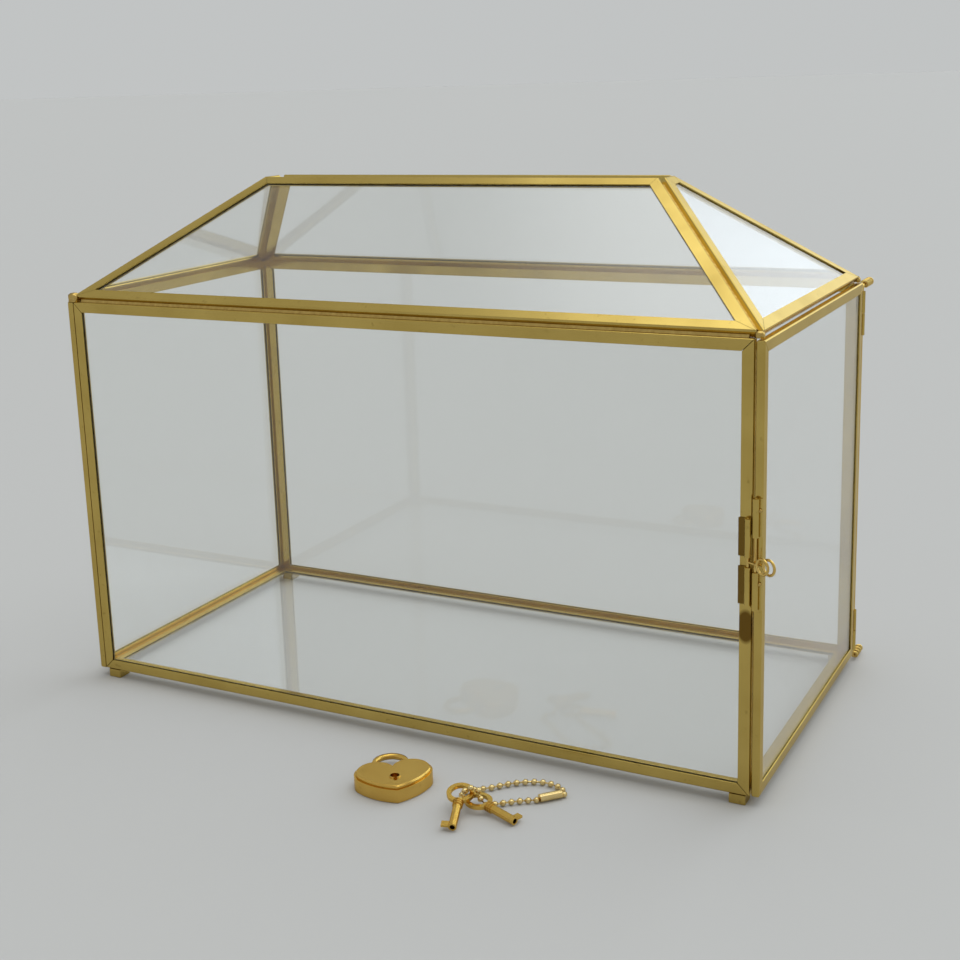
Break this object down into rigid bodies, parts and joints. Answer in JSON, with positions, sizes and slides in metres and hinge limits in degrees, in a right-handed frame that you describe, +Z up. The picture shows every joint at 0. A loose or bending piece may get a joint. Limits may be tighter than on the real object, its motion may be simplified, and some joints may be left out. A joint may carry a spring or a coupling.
{
  "type": "wedding card box",
  "caption": "House-shaped glass box in brass cames with a card slot along its ridge, a hinged end door with a wire-eye latch, and a small padlock with keys.",
  "frame": {"origin": "on the floor, in the middle of the bounding box of the box, padlock and keys together", "axes": "+Z up, +X along the ridge towards the door end, -Y towards the front where the padlock and keys lie"},
  "size_m": [0.3066, 0.2178, 0.2152],
  "materials": {
    "came_brass": "polished, lightly toned",
    "clear_glass": "clear",
    "gilt_solder": "bright, uneven",
    "padlock_brass": "polished",
    "key_brass": "polished"
  },
  "bodies": {
    "box": {"base_came": "came_brass", "base_glass": "clear_glass", "front_came": "came_brass", "front_glass": "clear_glass", "back_came": "came_brass", "back_glass": "clear_glass", "left_came": "came_brass", "left_glass": "clear_glass", "roof_front_came": "came_brass", "roof_front_glass": "clear_glass", "roof_back_came": "came_brass", "roof_back_glass": "clear_glass", "roof_left_came": "came_brass", "roof_left_glass": "clear_glass", "roof_right_came": "came_brass", "roof_right_glass": "clear_glass", "corner_feet": "came_brass", "solder_eaves": "gilt_solder", "solder_hips": "gilt_solder", "solder_corners": "gilt_solder", "front_latch_barrels": "came_brass", "back_hinge_knuckles": "came_brass", "hinge_pin": "came_brass", "hinge_coil_upper": "came_brass", "hinge_coil_lower": "came_brass"},
    "door": {"door_came": "came_brass", "door_glass": "clear_glass", "door_latch_barrels": "came_brass", "door_hinge_knuckles": "came_brass", "solder_drops": "gilt_solder"},
    "front_eye": {"front_latch_eye": "came_brass"},
    "door_eye": {"door_latch_eye": "came_brass"},
    "padlock": {"padlock_case": "padlock_brass", "padlock_cover": "padlock_brass", "padlock_rivet": "padlock_brass"},
    "shackle": {"padlock_shackle": "padlock_brass"},
    "key_set": {"key_one": "key_brass", "key_two": "key_brass", "ball_chain": "key_brass", "chain_connector": "key_brass"}
  },
  "joints": [
    {"name": "door_hinge", "type": "hinge", "parent": "box", "child": "door", "pos_m": [0.14636, 0.09429, 0.084], "axis": [0, 0, 1], "range_deg": [0, 105]},
    {"name": "front_eye_swivel", "type": "hinge", "parent": "box", "child": "front_eye", "pos_m": [0.14226, -0.05011, 0.0909], "axis": [0, 0, -1], "range_deg": [0, 60]},
    {"name": "door_eye_swivel", "type": "hinge", "parent": "door", "child": "door_eye", "pos_m": [0.14486, -0.05011, 0.0909], "axis": [0, 0, 1], "range_deg": [0, 25]},
    {"name": "padlock_lift", "type": "slide", "parent": "box", "child": "padlock", "axis": [0, 0, 1], "range_m": [0, 0.08]},
    {"name": "shackle_swing", "type": "hinge", "parent": "padlock", "child": "shackle", "pos_m": [0.01322, -0.08747, 0.0025], "axis": [0, 0, 1], "range_deg": [0, 50]},
    {"name": "key_set_lift", "type": "slide", "parent": "box", "child": "key_set", "axis": [0, 0, 1], "range_m": [0, 0.08]}
  ]
}
